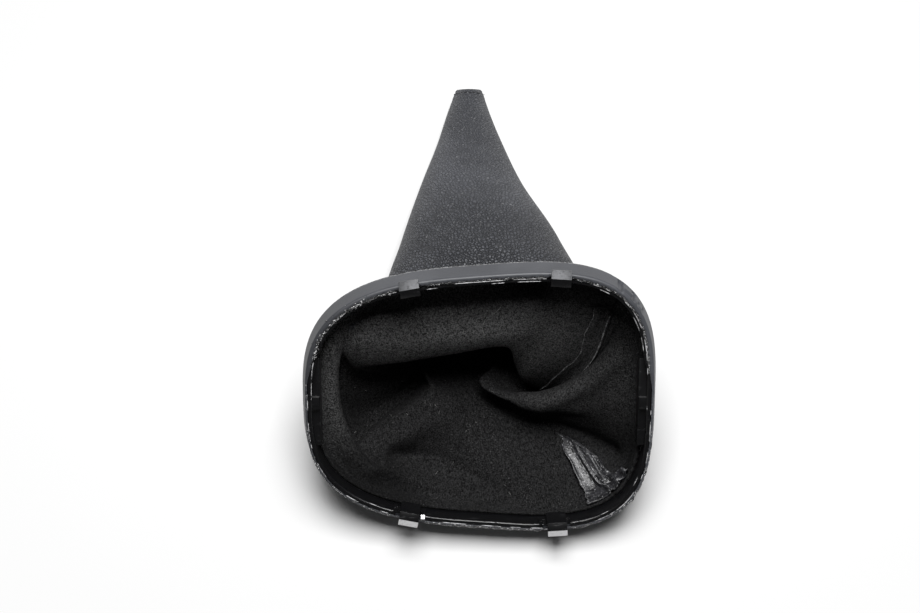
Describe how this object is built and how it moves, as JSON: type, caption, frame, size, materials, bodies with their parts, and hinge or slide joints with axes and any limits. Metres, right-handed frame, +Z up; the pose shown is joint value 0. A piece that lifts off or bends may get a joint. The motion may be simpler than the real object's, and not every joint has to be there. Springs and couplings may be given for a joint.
{
  "type": "gear lever gaiter",
  "caption": "Black leather gear lever gaiter sewn to a plastic clip frame, lying on its side with its opening and fleece-backed folds showing.",
  "frame": {"origin": "middle of the part's bounding box, on the table it lies on", "axes": "+Y from the ring towards the neck, along the boot as it lies; +Z up from the table; +X to the right of someone looking into the ring, its wider end"},
  "size_m": [0.1344, 0.2042, 0.077],
  "materials": {
    "plastic": "black moulded plastic, satin",
    "wrap": "smooth dark grey leatherette, satin",
    "boot": "charcoal pebble-grained leatherette, satin, with black brushed fleece on its inner side"
  },
  "bodies": {
    "root": {"clip_frame": "plastic", "frame_wrap": "wrap", "main_panel": "boot", "end_panel": "boot"}
  },
  "joints": []
}
